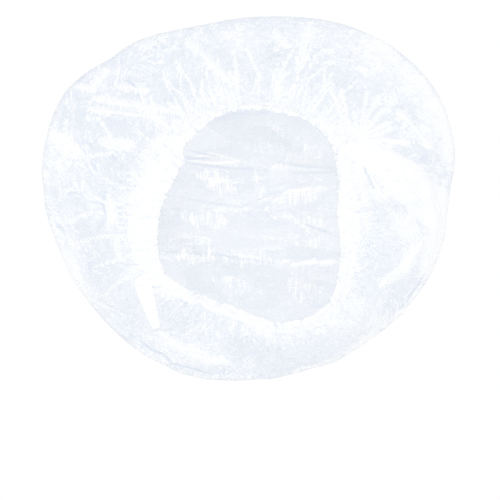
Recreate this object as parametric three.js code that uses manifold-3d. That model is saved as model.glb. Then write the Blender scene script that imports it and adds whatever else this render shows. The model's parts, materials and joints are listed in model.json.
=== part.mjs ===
// A disposable shower cap of thin clear film, lying open on a table with its mouth up.
// One web of pleated film makes the crown. Its two long edges are folded over a rubber thread each and
// sealed into gathered hems, and the ends of the web are fused into two end welds, where the hems meet.
// The cap folds in half about the line through its end welds, mouth edge against mouth edge.
// Millimetres: +X runs to the right across the cap, +Y to its rear and +Z up, with the table at Z = 0.
import * as THREE from 'three';
import { mergeVertices } from 'three/addons/utils/BufferGeometryUtils.js';
import Module from 'manifold-3d';

// The lying cap
const CAP_WIDTH = 315;
const CAP_LENGTH = 278;
const FILM_WALL = 0.8;
const RIM_RADIUS = 6;
const SKIRT_SWELL = 1.7;

// The mouth, measured along the middle of its hem
const MOUTH_WIDTH = 154;
const MOUTH_LENGTH = 172;
const MOUTH_FORWARD = 14;
const HEM_HEIGHT = 40;

// The folded hem and the thread in it
const HEM_WIDTH = 12;
const HEM_WALL = 0.6;
const HEM_SLIT = 0.4;
const HEM_PITCH = 12;
const HEM_RUFFLE = 1.6;
const HEM_PUCKER = 0.4;
const HEM_END = 8;
const THREAD_DIAMETER = 2;

// The film's gathers at the hem and the slack folds between hem and rim
const FILM_GATHER = 2.4;
const SLACK_DEPTH = 3;
const FILM_BELOW_HEM = 1.2;
const CALM_WIDTH = 48;

// The end welds: a bead on the fold line and the flat end seal that lies over the skirt
const RIGHT_WELD_ANGLE = 37;
const LEFT_WELD_ANGLE = 207;
const BEAD_RADIUS = 4;
const BEAD_REACH = 6.5;
const BEAD_GROOVE = 0.5;
const SEAL_LENGTH = 40;
const SEAL_WIDTH = 11;
const SEAL_TIP_WIDTH = 4.5;
const SEAL_SETTLE = 12;
const SEAL_THICKNESS = 1.5;
const SEAL_RIDGE = 0.4;
const RIGHT_SEAL_ANGLE = -38;
const LEFT_SEAL_ANGLE = -70;

// Gaps between neighbouring pieces
const CLEARANCE = 0.3;
const EDGE_CLEARANCE = 0.5;

// Outlines as radii at even turns, counter-clockwise from the right, as shares of their mean
const CAP_LOBES = [
  1.02, 1.08, 1.1, 1.07, 1.02, 0.96, 0.93, 0.92, 0.96, 1.01, 1.07, 1.06,
  1.03, 0.99, 0.96, 0.95, 0.94, 0.94, 0.92, 0.92, 0.93, 0.95, 0.98, 1.01,
];
const MOUTH_LOBES = [0.92, 1.04, 1.12, 1.09, 1.02, 0.85, 0.95, 1.06, 0.86, 0.93, 1.13, 1.05];

// The slack folds round the skirt, raised or sunk at even turns, as shares of their depth
const SLACK_FOLDS = [
  -0.7, 1, -0.5, 0.5, -0.4, 0.8, -0.8, 0.6, -0.7, 0.4, 0.8, -0.8,
  0.8, -0.7, 0.5, -0.8, 0.5, 0.4, -0.8, 0.6, -0.7, 0.6, 0.8, -0.4,
];

// Facets
const OUTLINE_SAMPLES = 720;
const FILM_COLUMNS = 96;
const RIM_TURNS = [0, 30, 90, 150];
const SKIRT_STEPS = 7;
const STEPS_PER_GATHER = 4;
const BEND_STEP = 60;
const THREAD_SIDES = 8;
const THREAD_STEPS = 64;
const BEAD_SIDES = 16;
const BEAD_STEPS = 10;
const BEAD_SQUARENESS = 6;
const SEAL_STEPS = 16;
const SEAL_COLUMNS = 4;

const wasm = await Module();
wasm.setup();

const UP = new THREE.Vector3(0, 0, 1);
const { degToRad, lerp, smoothstep, euclideanModulo } = THREE.MathUtils;

// A geometry from points and triangles.
function geometryOf(points, triangles) {
  const geometry = new THREE.BufferGeometry().setFromPoints(points);
  geometry.setIndex(triangles);
  return geometry;
}

// A solid for cutting and joining.
function solidOf(geometry) {
  const bare = geometry.clone();
  bare.deleteAttribute('normal');
  bare.deleteAttribute('uv');
  const merged = mergeVertices(bare);
  const vertProperties = new Float32Array(merged.attributes.position.array);
  const triVerts = new Uint32Array(merged.index.array);
  return new wasm.Manifold(new wasm.Mesh({ numProp: 3, vertProperties, triVerts }));
}

// A solid's surface as a geometry.
function surfaceOf(solid) {
  const mesh = solid.getMesh();
  const geometry = new THREE.BufferGeometry();
  geometry.setAttribute('position', new THREE.BufferAttribute(mesh.vertProperties, mesh.numProp));
  geometry.setIndex(new THREE.BufferAttribute(mesh.triVerts, 1));
  return geometry;
}

// A closed body through rings of points, with flat ends. The section is the ring laid flat: its first
// axis points to the right of the way along the body and its second one up, and it runs counter-clockwise.
function loft(rings, section) {
  const count = section.length;
  const triangles = [];
  for (let s = 0; s + 1 < rings.length; s += 1) {
    for (let k = 0; k < count; k += 1) {
      const here = s * count + k;
      const beside = s * count + (k + 1) % count;
      triangles.push(here, beside + count, beside, here, here + count, beside + count);
    }
  }
  const last = (rings.length - 1) * count;
  for (const [a, b, c] of THREE.ShapeUtils.triangulateShape(section, [])) {
    triangles.push(a, b, c, last + a, last + c, last + b);
  }
  return geometryOf(rings.flat(), triangles);
}

// A closed outline, asked by a share of its turn, stretched to a width and a length about the origin.
function outlineOf(lobes, width, length) {
  const points = lobes.map((lobe, i) => {
    const turn = (i / lobes.length) * 2 * Math.PI;
    return new THREE.Vector3(lobe * Math.cos(turn), lobe * Math.sin(turn), 0);
  });
  const curve = new THREE.CatmullRomCurve3(points, true);
  const box = new THREE.Box3().setFromPoints(curve.getPoints(OUTLINE_SAMPLES));
  const centre = box.getCenter(new THREE.Vector3());
  const size = box.getSize(new THREE.Vector3());
  const stretch = new THREE.Vector3(width / size.x, length / size.y, 0);
  return (share) => curve.getPoint(euclideanModulo(share, 1)).sub(centre).multiply(stretch);
}

const capOutline = outlineOf(CAP_LOBES, CAP_WIDTH, CAP_LENGTH);
const mouthOutline = outlineOf(MOUTH_LOBES, MOUTH_WIDTH, MOUTH_LENGTH);
const mouthCentre = new THREE.Vector3(0, -MOUTH_FORWARD, HEM_HEIGHT);

// A point on the mouth at the hem's height, a distance outside the middle of the hem.
function mouthPoint(share, outside = 0) {
  const step = 1 / OUTLINE_SAMPLES;
  const along = mouthOutline(share + step).sub(mouthOutline(share - step)).normalize();
  return mouthOutline(share).add(mouthCentre).addScaledVector(along.cross(UP), outside);
}

// The fold line, from the left weld to the right one.
const rightShare = RIGHT_WELD_ANGLE / 360;
const leftShare = LEFT_WELD_ANGLE / 360;
const rightEnd = mouthPoint(rightShare);
const leftEnd = mouthPoint(leftShare);
const foldLine = rightEnd.clone().sub(leftEnd).normalize();
const foldTurn = Math.atan2(foldLine.y, foldLine.x);
const rearward = UP.clone().cross(foldLine);

// How far a point lies from the fold line, towards the rear or the front.
function fromFold(point) {
  return Math.abs(point.clone().sub(leftEnd).dot(rearward));
}

// Each bead starts just inside the hem and reaches out past it along the fold line.
const beadStart = -HEM_WIDTH / 2 - EDGE_CLEARANCE;
const beadEnd = HEM_WIDTH / 2 + BEAD_REACH;
const beadLength = beadEnd - beadStart;
const welds = [
  { end: rightEnd, outward: foldLine, sealAngle: RIGHT_SEAL_ANGLE },
  { end: leftEnd, outward: foldLine.clone().negate(), sealAngle: LEFT_SEAL_ANGLE },
];

// Turns a body that was made along +X to run outward from a weld.
function placeAtWeld(geometry, { end, outward }) {
  geometry.rotateZ(Math.atan2(outward.y, outward.x));
  geometry.translate(end.x, end.y, end.z);
  return geometry;
}

// The room that each bead needs, so that what turns about the fold line stays clear of it.
const beadRooms = welds.map((weld) => {
  const radius = BEAD_RADIUS + CLEARANCE;
  const room = new THREE.CylinderGeometry(radius, radius, beadLength + 2 * CLEARANCE, BEAD_SIDES);
  room.rotateZ(Math.PI / 2);
  room.translate((beadStart + beadEnd) / 2, 0, 0);
  return solidOf(placeAtWeld(room, weld));
});

function clearOfBeads(solid) {
  return beadRooms.reduce((rest, room) => rest.subtract(room), solid);
}

// A point a distance inside the cap's outline, on the table.
function tablePoint(share, inside) {
  const rim = capOutline(share);
  return rim.addScaledVector(rim.clone().normalize(), -inside);
}

// The crown lies flat on the table and ends where the outer fold begins.
function crownPlate() {
  const outline = Array.from({ length: FILM_COLUMNS }, (_, i) => {
    return tablePoint(i / FILM_COLUMNS, RIM_RADIUS + EDGE_CLEARANCE);
  });
  return new THREE.ExtrudeGeometry(new THREE.Shape(outline), { depth: FILM_WALL, bevelEnabled: false });
}

// One column of the skirt: off the table, round the outer fold and up to the hem.
function skirtColumn(share) {
  const foot = tablePoint(share, RIM_RADIUS);
  const outward = foot.clone().normalize();
  const arc = RIM_TURNS.map((angle) => {
    const turn = degToRad(angle);
    const height = RIM_RADIUS * (1 - Math.cos(turn));
    return foot.clone().addScaledVector(outward, RIM_RADIUS * Math.sin(turn)).setZ(height);
  });
  const top = arc.at(-1);
  const edge = mouthPoint(share, HEM_WIDTH / 2 + EDGE_CLEARANCE);
  const slope = Array.from({ length: SKIRT_STEPS }, (_, i) => {
    const climb = (i + 1) / SKIRT_STEPS;
    const swell = 1 - (1 - climb) ** SKIRT_SWELL;
    return top.clone().lerp(edge, climb).setZ(lerp(top.z, HEM_HEIGHT - FILM_BELOW_HEM, swell));
  });
  return [...arc, ...slope];
}

// How far the slack is raised or sunk at a share of the turn, eased from fold to fold.
function slackAt(share) {
  const place = euclideanModulo(share, 1) * SLACK_FOLDS.length;
  const fold = Math.floor(place);
  const next = (fold + 1) % SLACK_FOLDS.length;
  return SLACK_DEPTH * lerp(SLACK_FOLDS[fold], SLACK_FOLDS[next], smoothstep(place - fold, 0, 1));
}

// How far gathers and slack folds lift the skirt. Both die out at the rim and beside the fold line.
function skirtLift(column, climb) {
  const share = column / FILM_COLUMNS;
  const calm = smoothstep(fromFold(mouthPoint(share)), HEM_END, CALM_WIDTH);
  const gather = FILM_GATHER * climb ** 2 * (column % 2 ? -1 : 1);
  const slack = slackAt(share) * Math.sin(Math.PI * climb);
  return calm * (gather + slack);
}

// The whole skirt as one ring of film between two depths below its outer face.
function skirtShell(outerDepth, innerDepth) {
  const columns = Array.from({ length: FILM_COLUMNS }, (_, i) => skirtColumn(i / FILM_COLUMNS));
  const rings = columns[0].length;
  const inwardAt = (i, j) => {
    const before = columns.at(i - 1)[j];
    const after = columns[(i + 1) % FILM_COLUMNS][j];
    const below = columns[i][Math.max(j - 1, 0)];
    const above = columns[i][Math.min(j + 1, rings - 1)];
    return above.clone().sub(below).cross(after.clone().sub(before)).normalize();
  };
  const points = [outerDepth, innerDepth].flatMap((depth) => columns.flatMap((column, i) => {
    return column.map((point, j) => {
      const climb = Math.max(j + 1 - RIM_TURNS.length, 0) / SKIRT_STEPS;
      return point.clone().addScaledVector(inwardAt(i, j), depth).addScaledVector(UP, skirtLift(i, climb));
    });
  }));
  const at = (side, i, j) => (side * FILM_COLUMNS + (i % FILM_COLUMNS)) * rings + j;
  const triangles = [];
  const face = (a, b, c, d) => triangles.push(a, b, c, a, c, d);
  for (let i = 0; i < FILM_COLUMNS; i += 1) {
    for (let j = 0; j + 1 < rings; j += 1) {
      face(at(0, i, j), at(0, i + 1, j), at(0, i + 1, j + 1), at(0, i, j + 1));
      face(at(1, i, j), at(1, i, j + 1), at(1, i + 1, j + 1), at(1, i + 1, j));
    }
    const last = rings - 1;
    face(at(0, i, last), at(0, i + 1, last), at(1, i + 1, last), at(1, i, last));
    face(at(0, i, 0), at(1, i, 0), at(1, i + 1, 0), at(0, i + 1, 0));
  }
  return geometryOf(points, triangles);
}

const crown = crownPlate();
const skirt = skirtShell(0, FILM_WALL);

// All the space on the other side of the fold line, seen from the rear or the front half.
function beyondFold(isRear) {
  const reach = 2 * (CAP_WIDTH + CAP_LENGTH);
  const block = new THREE.BoxGeometry(reach, reach, reach);
  const side = isRear ? -1 : 1;
  block.translate(0, side * (reach - CLEARANCE) / 2, 0);
  block.rotateZ(foldTurn);
  block.translate(leftEnd.x, leftEnd.y, leftEnd.z);
  return solidOf(block);
}

// The rear or front half of a body of film, cut along the fold line.
function filmHalf(film, isRear) {
  return surfaceOf(clearOfBeads(solidOf(film).subtract(beyondFold(isRear))));
}

// The stretch of mouth that one half's hem runs along, kept a distance from the fold line.
function mouthSpan(isRear, distance) {
  const step = 1 / OUTLINE_SAMPLES;
  let start = isRear ? rightShare : leftShare;
  let end = isRear ? leftShare : rightShare + 1;
  while (fromFold(mouthPoint(start)) < distance) start += step;
  while (fromFold(mouthPoint(end)) < distance) end -= step;
  return { start, end };
}

// A smooth curve along that stretch, a distance outside the middle of the hem.
function mouthCurve(start, end, outside) {
  const points = Array.from({ length: THREAD_STEPS + 1 }, (_, i) => {
    return mouthPoint(lerp(start, end, i / THREAD_STEPS), outside);
  });
  return new THREE.CatmullRomCurve3(points);
}

// The hem's section is a hairpin of film: its bend holds the thread, and its legs lie together and point
// to the skirt. Places across are measured outward from the middle of the hem.
const bendCorner = 1 / Math.cos(degToRad(BEND_STEP / 2));
const threadRoom = (THREAD_DIAMETER / 2 + CLEARANCE) * bendCorner;
const bendRadius = threadRoom + HEM_WALL * bendCorner;
const bendMiddle = bendRadius - HEM_WIDTH / 2;

function hemSection(pucker) {
  const bend = (radius) => Array.from({ length: 360 / BEND_STEP - 1 }, (_, i) => {
    const turn = degToRad((i + 1) * BEND_STEP);
    return new THREE.Vector2(bendMiddle + radius * Math.cos(turn), radius * Math.sin(turn));
  });
  const legs = (neck, height) => [
    new THREE.Vector2(HEM_WIDTH / 2, height),
    new THREE.Vector2(bendMiddle + neck, height),
  ];
  const face = HEM_SLIT / 2 + HEM_WALL;
  const outside = [...legs(bendRadius, face), ...bend(bendRadius + pucker)];
  outside.push(...legs(bendRadius, -face).reverse());
  const inside = [...legs(threadRoom, -HEM_SLIT / 2), ...bend(threadRoom).reverse()];
  inside.push(...legs(threadRoom, HEM_SLIT / 2).reverse());
  return [...outside, ...inside];
}

// One gathered hem: the hairpin along the mouth, its legs ruffled and its bend puckered.
function hem(isRear) {
  const { start, end } = mouthSpan(isRear, HEM_END);
  const gathers = Math.round(mouthCurve(start, end, 0).getLength() / HEM_PITCH);
  const steps = gathers * STEPS_PER_GATHER;
  const rings = Array.from({ length: steps + 1 }, (_, s) => {
    const share = lerp(start, end, s / steps);
    const calm = smoothstep(fromFold(mouthPoint(share)), HEM_END, 2 * HEM_END);
    const wave = calm * Math.sin((2 * Math.PI * s) / STEPS_PER_GATHER);
    return hemSection(HEM_PUCKER * Math.abs(wave)).map(({ x, y }) => {
      const legShare = Math.max(x - bendMiddle, 0) / (HEM_WIDTH / 2 - bendMiddle);
      return mouthPoint(share, x).setZ(HEM_HEIGHT + y + HEM_RUFFLE * wave * legShare ** 2);
    });
  });
  return surfaceOf(clearOfBeads(solidOf(loft(rings, hemSection(0)))));
}

// One rubber thread in the bend of its hem, reaching into the welds' room at both ends.
function thread(isRear) {
  const { start, end } = mouthSpan(isRear, BEAD_RADIUS);
  const extrudePath = mouthCurve(start, end, bendMiddle);
  const circle = new THREE.Shape().absarc(0, 0, THREAD_DIAMETER / 2, 0, 2 * Math.PI);
  const round = new THREE.Shape(circle.getSpacedPoints(THREAD_SIDES).slice(0, THREAD_SIDES));
  const cord = new THREE.ExtrudeGeometry(round, { steps: THREAD_STEPS, extrudePath, bevelEnabled: false });
  return surfaceOf(clearOfBeads(solidOf(cord)));
}

// One end weld: a grooved bead of fused pleats on the fold line, where both threads end, joined to the
// flat end seal of the web. The seal spreads from the bead, comes down to the front skirt and lies on it,
// with a ridge for each pleat.
function endWeld(weld) {
  const profile = Array.from({ length: BEAD_STEPS + 1 }, (_, i) => {
    const share = i / BEAD_STEPS;
    const round = Math.sqrt(1 - Math.abs(2 * share - 1) ** BEAD_SQUARENESS);
    const groove = i % 2 ? BEAD_GROOVE : 0;
    return new THREE.Vector2(round * (BEAD_RADIUS - groove), lerp(beadStart, beadEnd, share));
  });
  const bead = new THREE.LatheGeometry(profile, BEAD_SIDES).rotateZ(-Math.PI / 2);
  const beadSolid = solidOf(placeAtWeld(bead, weld));

  const skin = new THREE.Mesh(skirt);
  const heading = new THREE.Vector3(1, 0, 0).applyAxisAngle(UP, degToRad(weld.sealAngle));
  const rightward = heading.clone().cross(UP);
  const root = weld.end.clone().addScaledVector(weld.outward, beadEnd - BEAD_RADIUS / 2);
  const rings = Array.from({ length: SEAL_STEPS + 1 }, (_, s) => {
    const share = s / SEAL_STEPS;
    const settled = smoothstep(share * SEAL_LENGTH, 0, SEAL_SETTLE);
    const width = lerp(BEAD_RADIUS, lerp(SEAL_WIDTH, SEAL_TIP_WIDTH, share), settled);
    const ridge = SEAL_RIDGE * (s % 2 ? -1 : 1);
    const skinPoints = Array.from({ length: SEAL_COLUMNS + 1 }, (_, k) => {
      const spot = root.clone().addScaledVector(heading, share * SEAL_LENGTH);
      spot.addScaledVector(rightward, (0.5 - k / SEAL_COLUMNS) * width).setZ(2 * HEM_HEIGHT);
      const { point } = new THREE.Raycaster(spot, UP.clone().negate()).intersectObject(skin)[0];
      return point.setZ(lerp(HEM_HEIGHT - SEAL_THICKNESS, point.z, settled));
    });
    const above = SEAL_THICKNESS + CLEARANCE + ridge;
    const top = skinPoints.map((point) => point.clone().addScaledVector(UP, above));
    const bottom = skinPoints.map((point) => point.clone().addScaledVector(UP, -SEAL_THICKNESS));
    return [...top, ...bottom.reverse()];
  });
  const section = Array.from({ length: 2 * (SEAL_COLUMNS + 1) }, (_, k) => {
    const isTop = k <= SEAL_COLUMNS;
    const column = isTop ? k : 2 * SEAL_COLUMNS + 1 - k;
    return new THREE.Vector2(-column, isTop ? 1 : 0);
  });
  const film = solidOf(skirtShell(-CLEARANCE, 2 * SEAL_THICKNESS + FILM_WALL));
  const seal = solidOf(loft(rings, section)).subtract(film).subtract(beyondFold(false));
  return surfaceOf(seal.add(beadSolid));
}

const filmLook = new THREE.MeshStandardMaterial({
  color: 0xe4ecf8, roughness: 0.15, metalness: 0, transparent: true, opacity: 0.35,
});
const hemLook = new THREE.MeshStandardMaterial({
  color: 0xf6f8fc, roughness: 0.25, metalness: 0, transparent: true, opacity: 0.8,
});
const threadLook = new THREE.MeshStandardMaterial({ color: 0xfbfbfa, roughness: 0.7, metalness: 0 });
const weldLook = new THREE.MeshStandardMaterial({ color: 0xf2f5fb, roughness: 0.3, metalness: 0 });

const cap = new THREE.Group();

function addPiece(name, geometry, material) {
  const piece = new THREE.Mesh(geometry, material);
  piece.name = name;
  cap.add(piece);
}

for (const [half, isRear] of [['rear', true], ['front', false]]) {
  addPiece(`${half}_crown_film`, filmHalf(crown, isRear), filmLook);
  addPiece(`${half}_skirt_film`, filmHalf(skirt, isRear), filmLook);
  addPiece(`${half}_hem_casing`, hem(isRear), hemLook);
  addPiece(`${half}_elastic_thread`, thread(isRear), threadLook);
}
addPiece('right_end_weld', endWeld(welds[0]), weldLook);
addPiece('left_end_weld', endWeld(welds[1]), weldLook);

export default cap;
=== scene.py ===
import json
import math

import bpy
import numpy as np
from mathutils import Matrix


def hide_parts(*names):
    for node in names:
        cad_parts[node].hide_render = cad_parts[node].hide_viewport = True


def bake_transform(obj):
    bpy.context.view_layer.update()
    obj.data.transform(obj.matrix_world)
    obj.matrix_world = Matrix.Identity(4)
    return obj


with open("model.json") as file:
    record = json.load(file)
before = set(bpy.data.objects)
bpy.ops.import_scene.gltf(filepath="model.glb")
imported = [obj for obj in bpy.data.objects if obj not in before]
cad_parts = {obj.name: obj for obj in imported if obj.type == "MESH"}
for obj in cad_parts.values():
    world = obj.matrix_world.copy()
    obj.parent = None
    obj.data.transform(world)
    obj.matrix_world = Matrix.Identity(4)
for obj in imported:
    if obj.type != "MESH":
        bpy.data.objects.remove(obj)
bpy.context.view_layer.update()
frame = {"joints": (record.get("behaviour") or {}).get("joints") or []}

# The crown and skirt are one web of clear polyethylene film, about 0.025 mm thick and faintly blue.
# It comes off the roll in accordion pleats and is let out here, so the creases of its folding stay in it.
# The elastic draws its long edges in, which gathers the skirt round the mouth. Lengths are in millimetres.
MM = 0.001
COLUMNS = 720

# Runs of values stand at even turns round the cap, from its right side by way of the rear.
OUTLINE_RADII = [
    153, 162, 165, 160, 152, 143, 138, 137, 143, 151, 161, 160,
    155, 149, 145, 143, 142, 141, 138, 138, 140, 143, 148, 152,
]
MOUTH_RADII = [
    67, 69, 76, 84, 85, 83, 82, 80, 75, 69, 62, 62.5,
    66, 69, 73, 70, 65, 65, 69, 79, 85, 86, 78, 71,
]
HEM_WIDTHS = [
    17, 19, 16, 12, 9, 8, 8, 9, 11, 18, 27, 28,
    25, 22, 17, 11, 9, 9, 9, 10, 10, 10, 13, 15,
]
# Local swellings of the two outlines: angle in degrees, spread and depth.
OUTLINE_DENTS = [(126, 6, 1.4), (134, 5, -1.2)]
MOUTH_DENTS = [(131, 4, 1.5), (138, 4, -5.0)]
DENT_REACH = 10.0
OUTLINE_CRINKLES = 40
CRINKLE_DEPTH = 0.2
MOUTH_MIDDLE_Y = -16.0
HEM_HEIGHT = 40.0
HEM_MIDDLE = 6.0
RIM_RADIUS = 6.0
RIM_TOP_TURN = math.radians(150)
RIM_STEPS = 8
SKIRT_SWELL = 1.7
SKIRT_STEPS = 60
STEP_CROWDING = 1.12
FILM_BELOW_HEM = 1.2
FILM_TUCK_SHARE = 0.5
TUCK_STEPS = 4

# The slack stands in broad folds, each a share of the depth, and is calm beside the fold line.
SLACK_DEPTH = 3.0
SLACK_FOLDS = [
    -0.7, 1, -0.5, 0.5, -0.4, 0.8, -0.8, 0.6, -0.7, 0.4, 0.8, -0.8,
    0.8, -0.7, 0.5, -0.8, 0.5, 0.4, -0.8, 0.6, -0.7, 0.6, 0.8, -0.4,
]
CALM_START, CALM_END = 8.0, 48.0

# The line through both end welds, which the cap folds in half along.
FOLD_MIDDLE = np.array(frame["joints"][0]["pos_m"]) / MM
FOLD_AXIS = np.array(frame["joints"][0]["axis"])
FOLD_REARWARD = np.array([FOLD_AXIS[1], -FOLD_AXIS[0], 0.0])


def around(values, turn):
    """A smooth closed run of values, spaced evenly round the cap, at shares of a turn."""
    values = np.asarray(values, float)
    place = np.asarray(turn, float) % 1.0 * len(values)
    step = np.floor(place).astype(int)
    part = place - step
    a, b, c, d = (values[(step + k) % len(values)] for k in (-1, 0, 1, 2))
    return b + 0.5 * part * (c - a + part * (2 * a - 5 * b + 4 * c - d + part * (3 * (b - c) + d - a)))


def swellings(dents, turn):
    """The sum of local swellings, at shares of a turn."""
    angle = 360 * np.asarray(turn, float)
    total = np.zeros_like(angle)
    for place, spread, depth in dents:
        away = (angle - place + 180) % 360 - 180
        total = total + depth * np.exp(-(away / spread) ** 2)
    return total


def mouth_edge(turn, outside):
    """Points a distance outside the mouth's inner edge, in plan."""
    dents = swellings(MOUTH_DENTS, turn) * np.exp(-outside / DENT_REACH)
    radius = around(MOUTH_RADII, turn) + dents + outside
    angle = 2 * math.pi * np.asarray(turn)
    return np.stack([radius * np.cos(angle), MOUTH_MIDDLE_Y + radius * np.sin(angle)], -1)


def facets(u, v, columns, seed, rows=96):
    """Flat facets of film between random heights from -1 to 1, one facet pair to each unit of u and v."""
    dice = np.random.RandomState(seed)
    heights = dice.uniform(-1, 1, (columns, rows))
    leans = dice.randint(0, 2, (columns, rows))
    i, j = np.floor(u).astype(int), np.floor(v).astype(int)
    p, q = u - i, v - j
    corners = ((0, 0), (1, 0), (0, 1), (1, 1))
    a, b, c, d = (heights[(i + m) % columns, (j + n) % rows] for m, n in corners)
    rising = np.where(p > q, a + p * (b - a) + q * (d - b), a + q * (c - a) + p * (d - c))
    far_side = d + (1 - p) * (c - d) + (1 - q) * (b - d)
    falling = np.where(p + q < 1, a + p * (b - a) + q * (c - a), far_side)
    return np.where(leans[i % columns, j % rows] == 0, rising, falling)


def sway(turn, along, counts, seed):
    """A slow wander from about -1 to 1 round the cap, which also changes along the film."""
    phases = np.random.RandomState(seed).uniform(0, 2 * math.pi, (len(counts), 2))
    total = 0.0
    for count, (first, second) in zip(counts, phases):
        total = total + np.sin(2 * math.pi * count * turn + first + 1.7 * np.sin(along + second))
    return total / len(counts)


def ease(x, low, high):
    """A smooth step from 0 at low to 1 at high."""
    t = np.clip((x - low) / (high - low), 0, 1)
    return t * t * (3 - 2 * t)


# Folds pressed in by the packing: their run in plan, half width, height and whiteness.
SKIRT_FOLDS = [
    # The first fold's broad white run, at the right, is partly a painted highlight.
    ([(80, 44), (104, 24), (128, 2), (148, -24)], 15, 2.6, 1.0),
    ([(120, 22), (140, 2), (146, -24), (134, -52)], 14, 1.6, 0.5),
    ([(96, 6), (112, -8), (124, -30), (118, -56)], 12, 1.2, 0.25),
    ([(-151, 51), (-138, 41), (-125, 32)], 6, 2.0, 0.6),
    ([(-112, 43), (-98, 40), (-86, 40)], 6, 2.0, 0.6),
    ([(-117, 76), (-84, 69), (-50, 64)], 3.5, 1.2, 0.35),
    ([(-121, 68), (-92, 63), (-62, 60)], 3.5, 1.2, 0.3),
    ([(-100, 86), (-74, 80)], 3, 1.0, 0.3),
    ([(-136, 85), (-118, 84), (-106, 99)], 3, 1.4, 0.25),
    ([(-46, 119), (-27, 100), (-12, 86)], 4, 1.5, 0.45),
    ([(47, 133), (44, 116), (39, 98)], 7, 1.4, 0.4),
    ([(20, 128), (24, 119), (31, 114)], 3, 1.0, 0.4),
    ([(-62, -108), (-38, -119), (-14, -124)], 4, 1.2, 0.35),
    ([(-70, -100), (-52, -110), (-30, -117)], 3, 1.0, 0.3),
    ([(100, -66), (118, -52), (132, -32)], 5, 1.4, 0.35),
    ([(-104, 2), (-101, -22), (-97, -46)], 6, 1.3, 0.3),
    ([(112, 66), (128, 50), (138, 38)], 5, 1.4, 0.25),
]
CROWN_FOLDS = [
    ([(-48, 33), (-20, 30), (18, 25), (66, 22)], 2.6, 0.9, 0.04),
    ([(-46, 31), (-30, 34), (-12, 31)], 1.8, 0.9, 0.35),
    ([(-46, 30), (-26, 27), (-4, 29)], 1.8, 0.9, 0.3),
    ([(-40, 17), (-12, 14), (14, 16)], 2.6, 0.8, 0.04),
    ([(8, -2), (34, 6), (66, 9)], 3.0, 0.9, 0.08),
    ([(-58, -10), (-30, -6), (10, -9)], 2.6, 0.8, 0.04),
    ([(-56, -28), (-20, -24), (24, -30), (62, -24)], 2.6, 0.9, 0.04),
    ([(33, -50), (50, -48), (68, -48)], 2.8, 0.9, 0.38),
    ([(-44, -44), (-10, -40), (30, -36)], 2.6, 0.8, 0.04),
    ([(-20, -62), (10, -58), (44, -62)], 2.6, 0.8, 0.04),
]
# Lines where the film lies double, so they look a deeper blue: run, half width, height and depth.
SKIRT_PLIES = [
    ([(-76, -56), (-62, -67), (-46, -79)], 1.3, 0.4, 0.9),
    ([(-84, -106), (-56, -124), (-26, -133)], 1.6, 0.4, 0.8),
    ([(116, -82), (136, -58), (150, -26)], 2.6, 0.4, 0.8),
    ([(84, 36), (88, 20), (96, 4)], 1.3, 0.4, 0.7),
    ([(96, 30), (118, 12), (136, -12)], 1.2, 0.4, 0.5),
    ([(-96, 92), (-84, 84), (-80, 72)], 1.6, 0.4, 0.5),
    ([(-110, -2), (-106, -14), (-112, -24)], 1.6, 0.4, 0.6),
]
CROWN_PLIES = [
    ([(-50, 28), (-18, 24), (17, 22)], 1.2, 0.4, 0.9),
    ([(-50, 38), (-36, 35), (-20, 32)], 1.1, 0.4, 0.9),
    ([(-52, 32), (-42, 31), (-30, 31)], 1.6, 0.4, 1.0),
    ([(22, 28), (44, 25), (70, 23)], 1.5, 0.4, 0.8),
    ([(34, 20), (52, 20), (70, 21)], 1.1, 0.4, 0.8),
    ([(-62, 4), (-30, -3), (-6, -6), (26, 7)], 1.0, 0.4, 0.6),
    ([(-66, -40), (-25, -42), (26, -50)], 1.2, 0.4, 0.6),
    ([(40, -18), (54, -23), (70, -29)], 1.6, 0.4, 0.7),
    ([(-30, 60), (-8, 65), (16, 66)], 4.0, 0.4, 0.6),
]
# Leaf-shaped patches where the crown's pleats have crazed: run, half width, height and whiteness.
CROWN_LEAVES = [
    ([(-40, 21), (-25, 13), (-10, 3)], 9, 0.4, 1.0),
    ([(6, 22), (9, 10), (12, -3)], 5, 0.4, 0.5),
    ([(-52, -12), (-33, -16), (-15, -17)], 9, 0.4, 1.0),
    ([(14, -7), (40, 3), (68, 8)], 8, 0.4, 0.8),
    ([(12, -8), (38, -17), (68, -24)], 6, 0.4, 0.7),
    ([(36, -34), (52, -34), (70, -36)], 6, 0.4, 0.8),
    ([(16, 56), (44, 47), (68, 32)], 11, 0.4, 0.6),
    ([(-66, -42), (-22, -46), (34, -47)], 7, 0.4, 0.7),
    ([(30, -64), (46, -71), (62, -74)], 11, 0.4, 0.8),
    ([(-34, -60), (-14, -66), (10, -72)], 7, 0.4, 0.6),
]
# Beds where the skirt lies smooth under the end seals, in the same form.
SEAL_BEDS = [([(76, 40), (112, 14)], 14, 1.0, 0.0), ([(-80, -60), (-69, -100)], 16, 1.0, 0.0)]
BED_STEEPNESS = 1.6
BED_CALM = 0.85
STRIPE_WIDTH = 1.7


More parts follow.
